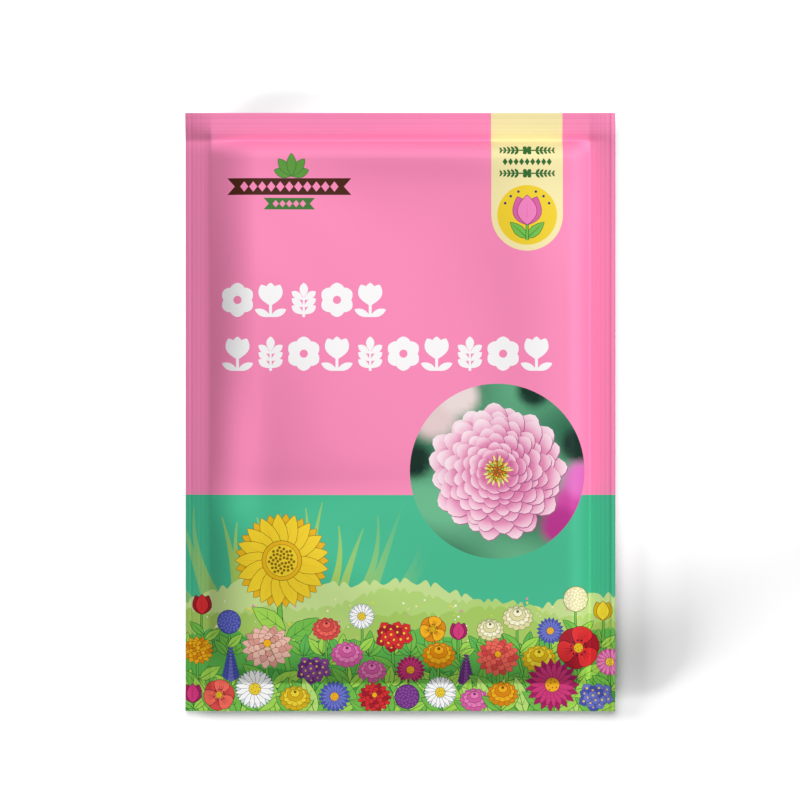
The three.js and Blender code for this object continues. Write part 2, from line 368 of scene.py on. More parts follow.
def bow(start, end, bend, points=9):
    """A curve from start to end that leaves the straight line by bend: 4 bend t (1 - t)."""
    start, end = np.asarray(start, float), np.asarray(end, float)
    t = np.linspace(0, 1, points)[:, None]
    straight = end - start
    aside = np.array([-straight[1], straight[0]]) / np.linalg.norm(straight)
    return start + straight * t + aside * (4 * bend * t * (1 - t))


def rounded_box(x, y, width, height, radius, points=6):
    """A rectangle round (x, y) with quarter circles for corners."""
    angle = np.linspace(0, TURN / 4, points)
    corner = radius * np.stack([np.cos(angle), np.sin(angle)], 1)
    reach = np.array([width / 2 - radius, height / 2 - radius])
    quarters = []
    for k, signs in enumerate([(1, 1), (-1, 1), (-1, -1), (1, -1)]):
        quarters.append(placed(corner, 0, 0, k * TURN / 4) + reach * signs + (x, y))
    return np.concatenate(quarters)


def across_film(low, high, beyond):
    """A rectangle from one height to another, right across the film and beyond its edges."""
    side = HALF_WIDTH + beyond
    return [(-side, low), (side, low), (side, high), (-side, high)]


def grown(outline, by):
    """An outline moved outwards along the mean normal of its two sides at each point, and
    less far where those two nearly cancel."""
    side = np.roll(outline, -1, 0) - outline
    normal = np.stack([side[:, 1], -side[:, 0]], 1) / np.linalg.norm(side, axis=1)[:, None]
    mean = normal + np.roll(normal, 1, 0)
    mean /= np.linalg.norm(mean, axis=1)[:, None].clip(0.2)
    x, y = outline.T
    area = np.sum(x * np.roll(y, -1) - np.roll(x, -1) * y)
    return outline + by * math.copysign(1, area) * mean


class Print:
    """The inks of one film, in the order in which they are laid down."""

    def __init__(self):
        self.outlines = []
        self.paints = []

    def lay(self, outline, paint):
        """One shape. Its paint is a colour, or a function of (x, y) that gives colours."""
        self.outlines.append(np.asarray(outline, float))
        self.paints.append(paint)

    def line(self, outline, paint, edge, width=0.13):
        """One shape with a line of another colour round it."""
        self.lay(grown(outline, width), edge)
        self.lay(outline, paint)


# ---------------------------------------------------------------- printed flowers and leaves
def leaf(ink, x, y, angle, length, width, fill=LEAF):
    """A pointed leaf with its outline and midrib, and side veins where it is long."""
    ink.line(petal(x, y, angle, length, width, 7, 0.85, 1.0), fill, LEAF_EDGE)
    heading = np.array([math.cos(angle), math.sin(angle)])
    aside = np.array([-heading[1], heading[0]])
    foot = np.array([x, y])
    ink.lay(ribbon(bow(foot, foot + 0.85 * length * heading, 0, 3), 0.17, 0.06), LEAF_EDGE)
    for share in (0.28, 0.52) if length > VEINED_LENGTH else ():
        root = foot + share * length * heading
        for side in (-1, 1):
            tip = root + 0.13 * length * heading + side * 0.3 * width * aside
            ink.lay(ribbon([root, tip], 0.1, 0.05), LEAF_EDGE)


def stem(ink, foot, head, bend, width=0.5):
    """A bowed stem with its outline."""
    path = bow(foot, head, bend)
    ink.lay(ribbon(path, width + 0.26, width + 0.16), LEAF_EDGE)
    ink.lay(ribbon(path, width, width * 0.8), LEAF_MID)


def petal_ring(ink, x, y, count, start, inks, line, *shape):
    """Outlined petals all round (x, y), the first of them start of a petal's turn on."""
    for k in range(count):
        ink.line(petal(x, y, TURN * (k + start) / count, *shape), *inks, line)


def dotted_eye(ink, x, y, radius, colour, dots, count=9):
    """A round eye with small dots in a spiral."""
    ink.line(spot(x, y, radius, 18), colour, dots, 0.1)
    for _, at in list(spiral(x, y, 0.85 * radius, count, 0))[1:]:
        ink.lay(spot(*at, 0.1 * radius, 6), dots)


def daisy(ink, x, y, size, inks):
    """A ring of deeper petals behind a ring of long ones, round a dotted eye."""
    fill, deep, edge = inks
    for start, colour in ((0, deep), (0.5, fill)):
        petal_ring(ink, x, y, 16, start, (colour, edge), 0.09, size, 4.4 * size / 16, 6)
    dotted_eye(ink, x, y, 0.3 * size, YELLOW, edge)


def sunny(ink, x, y, size, inks):
    """The large bloom: broad petals in two rings, a crease along each, and a wide eye."""
    fill, deep, edge = inks
    for start, colour, crease in ((0, deep, edge), (0.5, fill, deep)):
        for k in range(17):
            a = TURN * (k + start) / 17
            ink.line(petal(x, y, a, size, 0.36 * size, 9, 1.1, 0.85), colour, edge, 0.12)
            ends = around(x, y, 0.4 * size, a), around(x, y, 0.85 * size, a)
            ink.lay(ribbon(bow(*ends, 0, 4), 0.14, 0.05), crease)
    ink.line(spot(x, y, 0.42 * size, 40), deep, edge, 0.14)
    dotted_eye(ink, x, y, 0.34 * size, fill, edge, 42)


def pompon(ink, x, y, size, inks, squash=0.9, sharp=0.6):
    """A double bloom: rings of short petals, the outermost drawn first."""
    fill, deep, edge = inks
    for ring in range(4):
        reach = size * (1 - ring / 4.6)
        count = 15 - 3 * ring
        for k in range(count):
            a = TURN * (k + 0.5 * (ring % 2)) / count
            foot = around(0, 0, 0.35 * reach, a)
            shape = petal(*foot, a, 0.65 * reach, 4.9 * reach / count, 6, 1.5, sharp)
            shape = shape * (1, squash) + (x, y + 0.05 * ring * size)
            ink.line(shape, fill if (k + ring) % 3 else deep, edge, 0.09)
    ink.line(spot(x, y + 0.15 * size, 0.15 * size, 10), BLOOM_INKS["gold"][0], edge, 0.09)


def dahlia(ink, x, y, size, inks):
    """A double bloom of pointed petals."""
    pompon(ink, x, y, size, inks, 0.86, 1.0)


def frilly(ink, x, y, size, inks):
    """Scalloped rounds in one another, each a little higher than the last.

    The edge of a round is at 0.86 + 0.14 |sin(lobes * angle / 2 + ring)| of its reach."""
    fill, deep, edge = inks
    squash = 0.8
    for ring in range(4):
        reach = size * (1 - ring / 4.3)
        lobes = 13 - 2 * ring
        angle = np.linspace(0, TURN, 6 * lobes, endpoint=False)
        r = reach * (0.86 + 0.14 * np.abs(np.sin(lobes * angle / 2 + ring)))
        level = y + 0.11 * ring * size
        outline = np.stack([x + r * np.cos(angle), level + squash * r * np.sin(angle)], 1)
        ink.line(outline, fill if ring % 2 else deep, edge, 0.1)
        for k in range(lobes if ring < 2 else 0):
            a = TURN * k / lobes - 2 * ring / lobes
            ends = [around(x, level, share * reach, a, squash) for share in (0.66, 0.84)]
            ink.lay(ribbon(ends, 0.12, 0.05), edge)
    ink.lay(spot(x, y + 0.42 * size, 0.1 * size, 8), edge)


def poppy(ink, x, y, size, inks):
    """Six broad petals with creases from their feet, a dark eye and a ring of dots."""
    fill, deep, edge = inks
    for k in (0, 2, 4, 1, 3, 5):
        a = TURN * (k / 6 + 0.04)
        ink.line(petal(x, y, a, size, 1.02 * size, 13, 1.8, 0.5), fill if k % 2 else deep, edge)
        for turn in (-0.22, 0.0, 0.22):
            ends = [around(x, y, share * size, a + turn) for share in (0.3, 0.72)]
            ink.lay(ribbon(ends, 0.16, 0.04), edge)
    dotted_eye(ink, x, y, 0.22 * size, BLOOM_INKS["lemon"][1], edge, 6)
    for k in range(11):
        ink.lay(spot(*around(x, y, 0.36 * size, TURN * k / 11), 0.05 * size, 6), edge)


def tulip(ink, x, y, size, inks):
    """A cup of three upright petals."""
    fill, deep, edge = inks
    foot = y - 0.8 * size
    for lean, colour in ((0.34, deep), (-0.34, deep), (0.0, fill)):
        cup = petal(x, foot, UP + lean, 1.75 * size, 1.15 * size, 11, 0.9, 0.9)
        ink.line(cup, colour, edge)
    ink.lay(ribbon(bow((x, foot + 0.4 * size), (x, foot + 1.3 * size), 0, 4), 0.12, 0.04), deep)


def globe(ink, x, y, size, inks):
    """A ball of small florets set in a spiral."""
    fill, deep, edge = inks
    ink.line(spot(x, y, size, 26), deep, edge)
    for _, at in spiral(x, y, 0.92 * size, 40):
        ink.lay(spot(*at, 0.105 * size, 7), fill)


def aster(ink, x, y, size, inks):
    """Two rings of narrow rays round a dotted eye."""
    fill, deep, edge = inks
    for start, reach, colour in ((0, size, deep), (0.5, 0.82 * size, fill)):
        petal_ring(ink, x, y, 19, start, (colour, edge), 0.07, reach, 0.27 * reach, 5, 1.2, 0.8)
    dotted_eye(ink, x, y, 0.26 * size, BLOOM_INKS["gold"][0], edge, 8)


def cluster(ink, x, y, size, inks):
    """A dome of small five-lobed flowers, whose edge goes as 0.62 + 0.38 |cos(5 angle / 2)|."""
    fill, deep, edge = inks
    angle = np.linspace(0, TURN, 15, endpoint=False)
    lobed = 0.3 * size * (0.62 + 0.38 * np.abs(np.cos(2.5 * angle)))
    floret = np.stack([lobed * np.cos(angle), lobed * np.sin(angle)], 1)
    for k in range(16, 0, -1):
        a = k * GOLDEN_TURN
        at = around(x, y, 0.9 * size * math.sqrt((k - 0.5) / 16), a, 0.72)
        ink.line(placed(floret, *at, a), fill if k % 3 else deep, edge, 0.08)
        ink.lay(spot(*at, 0.07 * size, 6), BLOOM_INKS["lemon"][0])


def spike(ink, x, y, size, inks):
    """Small buds in threes up a stem, smaller towards the tip."""
    fill, deep, edge = inks
    for k in range(10):
        share = k / 10
        level = y - size + 2.5 * size * share
        length = 0.6 * size * (1.08 - share) + 0.3
        for side in (-1, 1):
            bud = petal(x, level, UP - side * 0.95, length, 0.36 * size * (1.2 - share), 6)
            ink.line(bud, deep, edge, 0.08)
        ink.line(spot(x, level + 0.1 * size, 0.2 * size * (1.2 - share), 8), fill, edge, 0.08)


def sprig(ink, x, y, half_length, colour, stalk):
    """A level spray of paired leaves on each side of a four-petalled flower."""
    for side in (-1, 1):
        ink.lay(ribbon(bow((x, y), (x + side * half_length, y), 0, 5), 0.36, 0.16), stalk)
        for k in range(1, 6):
            at = x + side * half_length * (0.16 + 0.15 * k)
            for lift in (-1, 1):
                angle = (0 if side > 0 else math.pi) + side * lift * 0.85
                size = half_length * (0.24 - 0.018 * k)
                ink.lay(petal(at, y, angle, size, 0.48 * size, 6, 1.0, 0.9), colour)
    for k in range(4):
        ink.lay(petal(x, y, TURN * (k + 0.5) / 4, 0.2 * half_length, 0.16 * half_length), colour)
    ink.lay(spot(x, y, 0.06 * half_length, 10), stalk)


def pierced_band(ink, x, y, width, height, count, colour):
    """A level band with notched ends and a row of lozenges cut out of it."""
    half, tall = width / 2, height / 2
    right = [(half, tall), (half - 0.45 * height, 0), (half, -tall)]
    left = [(-half, -tall), (0.45 * height - half, 0), (-half, tall)]
    ink.lay(np.array(right + left) + (x, y), colour)
    lozenge_row(ink, x, y, width - 1.5 * height, 0.62 * height, count, PINK)


def lozenge_row(ink, x, y, width, height, count, colour):
    """A level row of lozenges."""
    pitch = width / count
    reach = np.array([(0.46 * pitch, 0), (0, height / 2), (-0.46 * pitch, 0), (0, -height / 2)])
    for k in range(count):
        ink.lay(reach + (x + (k - (count - 1) / 2) * pitch, y), colour)


def palmette(ink, x, y, size, fill, edge):
    """Five leaves fanned up from one foot."""
    for turn, share in ((-1.25, 0.8), (1.25, 0.8), (-0.66, 0.95), (0.66, 0.95), (0.0, 1.0)):
        blade = petal(x, y, UP + turn, size * share, 0.4 * size, 9, 1.1, 0.85)
        ink.line(blade, fill, edge, 0.16)


# ---------------------------------------------------------------- the front's print
HORIZON = -19.33  # where the pink gives way to the teal
TAG_X, TAG_HALF, TAG_FOOT_Y = 29.6, 8.35, 46.0
BADGE_RADIUS = 6.97
WINDOW_X, WINDOW_Y, WINDOW_RADIUS = 22.65, -13.75, 20.4
ORNAMENT_LEFT = -42.0
ORNAMENT_ROWS = [(26.2, 5), (13.65, 10)]  # height of each row's middle, and its motifs
ORNAMENT_PITCH = 7.75
ORNAMENT_SIZE = 4.0
# The window's rings of petals, the outermost first: their reach, and how many there are.
WINDOW_RINGS = [(16.0, 19), (14.4, 19), (12.5, 18), (10.5, 17), (8.6, 15), (6.8, 13), (5.1, 10)]
VEIN_SPREAD = 0.288  # from a petal's middle to each of its two veins, along its ring
VEINED_LENGTH = 7  # a leaf longer than this has side veins


def ridge(base, waves, bumps=0.0, bump_length=3.0):
    """A hill's outline: base + sum of h sin(2 pi x / length + start), with round bumps."""
    x = np.arange(-HALF_WIDTH - 1, HALF_WIDTH + 1.01, 0.4)
    y = base + sum(h * np.sin(TURN * x / length + start) for h, length, start in waves)
    y = y + bumps * np.abs(np.sin(math.pi * (x + 0.8 * np.sin(0.9 * x)) / bump_length))
    top = np.stack([x, y], 1)
    floor = -HALF_HEIGHT - 1
    return np.concatenate([top, [(x[-1], floor), (x[0], floor)]])


def ornament_rows(ink):
    """Two rows of white blooms, leaf pairs and cups, in turn."""
    for row, (level, count) in enumerate(ORNAMENT_ROWS):
        for k in range(count):
            x = ORNAMENT_LEFT + ORNAMENT_SIZE + k * ORNAMENT_PITCH
            white_motif(ink, x, level, ORNAMENT_SIZE, (k + row) % 3)


def white_motif(ink, x, y, size, kind):
    """One white ornament: a six-petalled bloom, a cup on two leaves, or a sprig of leaves."""

    def blade(foot, turn, length, width, *shape):
        ink.lay(petal(x, y + foot * size, turn, length * size, width * size, *shape), WHITE)

    def stalk_to(head, foot_width, head_width):
        path = bow((x, y - size), (x, y + head * size), 0, 4)
        ink.lay(ribbon(path, foot_width * size, head_width * size), WHITE)

    if kind == 0:
        for k in range(6):
            blade(0, TURN * (k + 0.5) / 6, 1, 0.86, 13, 1.45, 0.6)
        ink.lay(spot(x, y, 0.24 * size, 20), PINK)
    elif kind == 1:
        for lean in (0.42, -0.42, 0.0):
            blade(-0.35, UP + lean, 1.35, 0.75, 11)
        stalk_to(0, 0.17, 0.17)
        for side in (-1, 1):
            blade(-0.97, UP + side * 1.15, 1.0, 0.42, 10, 1.1)
    else:
        stalk_to(0.4, 0.16, 0.1)
        blade(0.1, UP, 0.9, 0.5, 10)
        for k in range(3):
            for side in (-1, 1):
                blade(0.42 * k - 0.85, UP + side * 0.95, 0.86, 0.42, 10)


def tag(ink):
    """The cream tag that hangs from the top edge, with three small rows and a badge."""
    angle = np.linspace(math.pi, TURN, 22)
    foot = np.stack([np.cos(angle), np.sin(angle)], 1) * TAG_HALF + (TAG_X, TAG_FOOT_Y)
    top = HALF_HEIGHT + 1
    head = [(TAG_X + TAG_HALF, top), (TAG_X - TAG_HALF, top)]
    ink.lay(np.concatenate([foot, head]), CREAM)
    sprig(ink, TAG_X, 61.1, 6.4, DARK_GREEN, DARK_GREEN)
    lozenge_row(ink, TAG_X, 58.4, 11.6, 1.7, 9, DARK_GREEN)
    sprig(ink, TAG_X, 55.7, 6.4, DARK_GREEN, DARK_GREEN)
    ink.lay(spot(TAG_X, TAG_FOOT_Y, BADGE_RADIUS, 48), YELLOW)
    for side in (-1, 1):
        leaf(ink, TAG_X, TAG_FOOT_Y - 5.4, UP + side * 0.82, 5.4, 2.3, LEAF_MID)
    stem(ink, (TAG_X, TAG_FOOT_Y - 5.9), (TAG_X, TAG_FOOT_Y), 0, 0.5)
    tulip(ink, TAG_X, TAG_FOOT_Y + 0.9, 3.9, BLOOM_INKS["rose"])
    for k in (-3, -2, -1, 1, 2, 3):
        at = around(TAG_X, TAG_FOOT_Y, 5.8, UP + 0.36 * k)
        ink.lay(spot(*at, 0.32, 8), BLOOM_INKS["violet"][2])


def crest(ink):
    """A green palmette over a brown band and a short green one."""
    palmette(ink, -25.4, 55.2, 5.2, CREST_LEAF, CREST_GREEN)
    pierced_band(ink, -25.9, 52.7, 29.0, 3.9, 11, DARK_BROWN)
    pierced_band(ink, -25.9, 48.7, 12.0, 2.7, 5, CREST_GREEN)


def window_ground(x, y):
    """Leaves out of focus: waves of lighter and darker green, a pale patch and pink ones."""
    u, v = (x - WINDOW_X) / WINDOW_RADIUS, (y - WINDOW_Y) / WINDOW_RADIUS
    waves = np.sin(3.6 * u + 1.0) * np.sin(3.1 * v - 0.6) + 0.5 * np.sin(6.1 * v + 3 * u)
    ground = mix(ink_colour("#1f6045"), ink_colour("#6bb98d"), 0.5 + 0.45 * waves)
    for middle_x, middle_y, reach, code in (
        (-0.95, 0.12, 0.2, "#0f2f26"),
        (0.42, 0.93, 0.19, "#123428"),
        (0.93, 0.3, 0.2, "#0f2f26"),
        (0.9, -0.36, 0.26, "#d048a4"),
        (0.72, -0.62, 0.22, "#b8328c"),
        (0.95, -0.1, 0.2, "#dd6fc0"),
        (-0.72, 0.64, 0.27, "#e6cdcd"),
        (-0.44, 0.86, 0.22, "#eddcd9"),
    ):
        away = np.hypot(u - middle_x, v - middle_y) / reach
        ground = mix(ground, ink_colour(code), smooth(-1.35, -0.65, -away))
    return ground


def blush(a, size, inner, width, tone):
    """The paint of a petal of the window's bloom that lies along the angle a: deep near inner,
    where the ring above it ends, pale at its tip at size, and a little deeper at its sides."""

    def paint(x, y):
        u, v = x - WINDOW_X, y - WINDOW_Y
        along = (np.hypot(u, v) - inner) / (size - inner) + tone
        across = np.abs(v * math.cos(a) - u * math.sin(a)) / width
        colour = mix(mix(PETAL_DEEP, PETAL_MIDDLE, 1.7 * along), PETAL_TIP, 1.5 * (along - 0.36))
        return mix(colour, PETAL_DEEP, 0.9 * (across - 0.3))

    return paint


def window_petal(ink, a, size, width, vein_turn, paint):
    """One petal of the window's bloom, with its shadow and two veins."""
    foot = 0.25 * size
    x, y = around(WINDOW_X, WINDOW_Y, foot, a)
    length = size - foot
    ink.lay(petal(x + 0.1, y - 0.13, a, length + 0.06, width + 0.16, 9, 1.6, 0.55), PETAL_SHADE)
    ink.lay(petal(x, y, a, length, width, 9, 1.6, 0.55), paint)
    ink.lay(petal(x, y, a, 0.92 * length, 0.6 * width, 6, 1.6, 0.6), paint)
    for turn in (-vein_turn, vein_turn):
        ends = [around(WINDOW_X, WINDOW_Y, share * size, a + turn) for share in (0.55, 0.9)]
        ink.lay(ribbon(ends, 0.13, 0.04), PETAL_LINE)


def window_eye(ink, rng):
    """The middle of the window's bloom: pale rays round a spiral of small florets."""
    ink.lay(spot(WINDOW_X, WINDOW_Y, 2.5, 22), EYE_BROWN)
    for k in range(17):
        a = TURN * (k + rng.uniform(-0.25, 0.25)) / 17
        at = around(WINDOW_X, WINDOW_Y, 1.4, a)
        ink.line(petal(*at, a, rng.uniform(1.7, 2.5), 0.52, 6, 1.5, 0.6), RAY, RAY_EDGE, 0.06)
    florets = (BLOOM_INKS["lemon"][0], BLOOM_INKS["gold"][1], LEAF)
    for k, (a, at) in enumerate(spiral(WINDOW_X, WINDOW_Y, 2.1, 46)):
        colour = florets[k % 3 if k > 7 else 1]
        ink.line(petal(*at, a, 0.72, 0.42, 5), colour, EYE_LINE, 0.05)


def window(ink):
    """The round picture: a many-petalled pale pink bloom before leaves out of focus."""
    for share in (1.0, 0.95, 0.88):
        ink.lay(spot(WINDOW_X, WINDOW_Y, share * WINDOW_RADIUS, 100), window_ground)
    rng = np.random.default_rng(41)
    below = [reach for reach, _ in WINDOW_RINGS[1:]] + [3.6]
    for ring, (reach, count) in enumerate(WINDOW_RINGS):
        for k in range(count):
            a = TURN * (k + 0.5 * (ring % 2) + 0.21 * ring) / count + rng.uniform(-0.06, 0.06)
            size = reach * rng.uniform(0.93, 1.05)
            width = 7.2 * size / count * rng.uniform(0.88, 1.1)
            tone = rng.uniform(-0.1, 0.1) + 0.13 * math.cos(a - 2.4) - 0.04 * ring
            paint = blush(a, size, 0.8 * below[ring], width, tone)
            window_petal(ink, a, size, width, VEIN_SPREAD / reach, paint)
    window_eye(ink, rng)


# Blooms of the meadow by row, from the back: kind, x, y of the head, size, ink, stem's lean.
BACK_ROW = [
    (tulip, -46.4, -45.2, 2.6, "red", 0.6),
    (globe, -40.0, -49.0, 2.7, "violet", -0.4),
    (frilly, -17.2, -50.6, 3.3, "coral", 0.5),
    (daisy, -9.0, -47.6, 3.0, "white", -0.6),
    (cluster, -1.6, -52.2, 4.3, "red", 0.5),
    (poppy, 7.6, -50.6, 3.0, "gold", -0.6),
    (tulip, 13.6, -51.2, 2.3, "magenta", 0.4),
    (frilly, 21.0, -50.8, 3.2, "cream", 0.6),
    (frilly, 27.4, -48.0, 3.6, "cream", 0.6),
    (aster, 35.0, -51.0, 3.2, "violet", -0.5),
    (globe, 41.0, -43.6, 2.9, "cream", 0.6),
    (tulip, 47.4, -46.6, 2.5, "lemon", -0.4),
]
MIDDLE_ROW = [
    (dahlia, -47.4, -55.8, 3.8, "gold", 0.6),
    (spike, -39.6, -59.4, 3.2, "violet", 0.4),
    (dahlia, -31.0, -54.8, 6.0, "blush", 0.8),
    (cluster, -20.4, -60.2, 4.0, "purple", -0.5),
    (frilly, -12.4, -56.6, 3.8, "rose", 0.6),
    (frilly, -6.6, -60.6, 3.4, "rose", 0.4),
    (aster, 2.4, -60.2, 3.5, "magenta", -0.5),
    (frilly, 9.0, -56.8, 3.9, "gold", 0.5),
    (spike, 15.4, -60.8, 3.0, "purple", 0.3),
    (pompon, 22.8, -57.2, 5.0, "coral", -0.6),
    (frilly, 32.4, -57.6, 4.0, "lemon", 0.6),
    (poppy, 41.6, -55.0, 5.0, "red", -0.5),
    (daisy, 49.0, -58.4, 3.2, "rose", 0.4),
]
FRONT_ROW = [
    (tulip, -48.6, -66.0, 2.5, "magenta", 0.3),
    (poppy, -42.4, -66.2, 3.6, "coral", -0.5),
    (daisy, -34.0, -64.8, 4.6, "white", 0.6),
    (frilly, -24.6, -67.0, 3.6, "lemon", -0.5),
    (aster, -15.4, -66.6, 3.8, "violet", 0.5),
    (pompon, -6.0, -66.8, 3.9, "red", -0.5),
    (globe, 1.6, -66.6, 2.8, "purple", 0.4),
    (daisy, 9.4, -65.6, 3.8, "white", 0.5),
    (frilly, 17.4, -67.4, 3.4, "rose", -0.5),
    (frilly, 24.0, -66.0, 3.6, "gold", -0.5),
    (aster, 35.6, -63.8, 6.4, "magenta", 0.6),
    (cluster, 45.6, -66.6, 4.0, "violet", 0.4),
]
SUNNY_X, SUNNY_Y, SUNNY_SIZE = -27.6, -34.6, 10.9
LARGE_LEAVES = [-45.6, -37.8, -28.8, -19.8, -10.6, -2.0, 5.6, 13.4, 21.0, 29.2, 41.2]


def fading_blade(x, y):
    """Light green that gives way to the teal further from the large bloom."""
    away = np.hypot(x - SUNNY_X, y - SUNNY_Y + 6)
    return mix(HILL, TEAL, (away - 12) / 22)


def meadow(ink):
    """Sky, tall blades, hills, grass and rows of blooms, from the back to the front."""
    rng = np.random.default_rng(7)
    ink.lay(across_film(-HALF_HEIGHT - 1, HORIZON, 1), TEAL)
    for k in range(17):
        x = -51 + 3.3 * k
        lean = 0.75 * (x - SUNNY_X) + rng.uniform(-2, 2)
        tip = (x + lean * 0.6, min(-20.2, -24.5 + rng.uniform(-3, 3.5)))
        path = bow((x, -46), tip, -0.09 * lean - 1.2 * (-1) ** k, 12)
        ink.lay(ribbon(path, 2.7, 0.25), fading_blade)
    ink.lay(ridge(-42.6, [(3.1, 104, 2.6), (1.4, 39, 0.7)], 1.5, 3.6), LIGHT_HILL)
    ink.lay(ridge(-45.2, [(2.3, 77, 1.4), (1.1, 29, 2.2)], 1.2, 2.7), PALE_HILL)
    ink.lay(ridge(-48.6, [(2.0, 63, 0.2), (1.0, 27, 2.4)], 1.2, 3.2), HILL)
    petals_adrift = (WHITE, CREAM, BLOOM_INKS["rose"][0], WHITE, BLOOM_INKS["lemon"][0])
    for _ in range(120):
        x, y = rng.uniform(-49, 49), rng.uniform(-55, -43)
        colour = petals_adrift[rng.integers(5)]
        ink.lay(spot(x, y, rng.uniform(0.14, 0.32), 6), colour)
    ink.lay(ridge(-53.5, [(1.7, 49, 1.2), (0.9, 22, 0.5)], 0.9, 1.7), MEADOW)
    tufts(ink, rng, 44, (-63, -53), MEADOW_SHADE)
    ink.lay(ridge(-61.5, [(1.3, 37, 0.7)], 0.7, 1.5), MEADOW_SHADE)
    tufts(ink, rng, 16, (-66, -62), MEADOW)
    stem(ink, (SUNNY_X + 1.5, -60), (SUNNY_X, SUNNY_Y), 1.2, 1.1)
    leaf(ink, SUNNY_X + 0.8, -51.0, UP + 0.95, 9.5, 4.4, LEAF)
    leaf(ink, SUNNY_X + 0.8, -53.5, UP - 0.95, 9.5, 4.4, LEAF_MID)
    sunny(ink, SUNNY_X, SUNNY_Y, SUNNY_SIZE, BLOOM_INKS["sun"])
    leaf_bed(ink, rng, -56.5)
    bloom_row(ink, rng, BACK_ROW)
    leaf_bed(ink, rng, -64.5)
    bloom_row(ink, rng, MIDDLE_ROW)
    for x in LARGE_LEAVES:
        for turn in (-0.85, 0.8, -0.3, 0.28):
            fill = (LEAF, LEAF_MID, PALE_LEAF)[rng.integers(3)]
            leaf(ink, x, -71.2, UP + turn + rng.uniform(-0.1, 0.1), 9.6, 3.6, fill)
    bloom_row(ink, rng, FRONT_ROW)


def bloom_row(ink, rng, row):
    """The blooms of one row, each on its stalk."""
    for kind, x, y, size, inks, lean in row:
        stalk(ink, rng, x, y, size, lean)
        kind(ink, x, y, size, BLOOM_INKS[inks])


def stalk(ink, rng, x, y, size, lean):
    """A bloom's stem with a leaf on each side of it."""
    foot = (x + 2 * lean, max(-HALF_HEIGHT - 0.5, y - 13))
    stem(ink, foot, (x, y - 0.3 * size), lean, 0.26 + 0.05 * size)
    for side, fill in ((-1, LEAF), (1, LEAF_MID)):
        share = rng.uniform(0.3, 0.6)
        at = np.asarray(foot) * share + np.asarray((x, y - size)) * (1 - share)
        angle = UP + side * rng.uniform(0.7, 1.15)
        leaf(ink, *at, angle, 1.2 * size + 1.4, 0.5 * size + 0.6, fill)


def leaf_bed(ink, rng, level):
    """Leaves side by side along a level, three to a tuft."""
    for x in np.arange(-50, 51, 5.3):
        x = x + rng.uniform(-1, 1)
        for turn in (-0.85, 0.8, 0.0):
            fill = (LEAF_MID, MEADOW, LEAF, LEAF_MID)[rng.integers(4)]
            angle = UP + turn + rng.uniform(-0.2, 0.2)
            leaf(ink, x, level + rng.uniform(-0.5, 0.5), angle, rng.uniform(4.2, 5.5), 2.3, fill)


def tufts(ink, rng, count, levels, colour):
    """Tufts of three bent blades of grass."""
    for _ in range(count):
        x, y = rng.uniform(-HALF_WIDTH, HALF_WIDTH), rng.uniform(*levels)
        for side in (-1, 0, 1):
            tip = (x + 0.9 * side, y + rng.uniform(1.2, 2.2))
            ink.lay(ribbon(bow((x, y), tip, 0.18 * side, 4), 0.3, 0.05), colour)


def front_print():
    """Everything on the front, in the order in which it is laid down."""
    ink = Print()
    ink.lay(across_film(-HALF_HEIGHT - 2, HALF_HEIGHT + 2, 2), PINK)
    for part in (meadow, crest, ornament_rows, tag, window):
        part(ink)
    return ink


# ---------------------------------------------------------------- the back's print
PANEL = (0.0, 8.0, 78.0, 92.0, 4.0)  # middle x, y, width, height and corner radius
# Ground, kind of bloom and its ink.
ROUNDELS = [
    (TEAL, tulip, "red"),
    (YELLOW, daisy, "white"),
    (BLOOM_INKS["rose"][0], poppy, "coral"),
    (LEAF_MID, globe, "violet"),
]


def back_print():
    """Pink with a green foot, a blank cream panel with rules, four roundels and a bar."""
    ink = Print()
    ink.lay(across_film(-HALF_HEIGHT - 2, HALF_HEIGHT + 2, 2), PINK)
    ink.lay(ridge(-47.0, [(1.6, 71, 0.4), (0.8, 29, 1.7)], 0.7, 2.9), HILL)
    ink.lay(ridge(-54.0, [(1.5, 53, 2.2)], 0.8, 1.9), MEADOW)
    ink.lay(rounded_box(*PANEL), CREAM)
    sprig(ink, 0, 47.0, 16.0, DARK_GREEN, DARK_BROWN)
    for k, (ground, kind, inks) in enumerate(ROUNDELS):
        x = -27 + 18 * k
        ink.lay(spot(x, 32.5, 6.4, 36), ground)
        kind(ink, x, 32.5, 3.6, BLOOM_INKS[inks])
    for k in range(9):
        width = 66 if k % 4 != 3 else 44
        ink.lay(rounded_box((width - 66) / 2, 19.5 - 4.4 * k, width, 0.5, 0.24, 3), LEAF_MID)
    for k in range(12):
        colour = MEADOW if 2 <= k <= 6 else LIGHT_HILL
        ink.lay(rounded_box(-30.25 + 5.5 * k, -28.0, 5.0, 6.0, 0.8, 4), colour)
    for k in range(9):
        kind = (pompon, daisy, tulip)[k % 3]
        inks = BLOOM_INKS[("rose", "white", "red", "gold", "violet")[k % 5]]
        x = -42 + 10.5 * k
        stem(ink, (x, -HALF_HEIGHT + 1), (x, -60), 0.4)
        kind(ink, x, -59 + 1.5 * math.sin(2.4 * k), 3.2, inks)
    return ink


# ---------------------------------------------------------------- from print to film
def triangulate(points, edges, merge=MERGE):
    """The constrained Delaunay triangles of points, with every edge kept, anticlockwise."""
    found = delaunay_2d_cdt([Vector(p) for p in points.tolist()], edges.tolist(), [], 0, merge)
    corners = np.array([v[:] for v in found[0]])
    triangles = np.array(found[2])
    a, b, c = (corners[triangles[:, k]] for k in range(3))
    area = (b[:, 0] - a[:, 0]) * (c[:, 1] - a[:, 1]) - (c[:, 0] - a[:, 0]) * (b[:, 1] - a[:, 1])
    triangles[area < 0] = triangles[area < 0][:, ::-1]
    return corners, triangles[np.abs(area) > TINY]


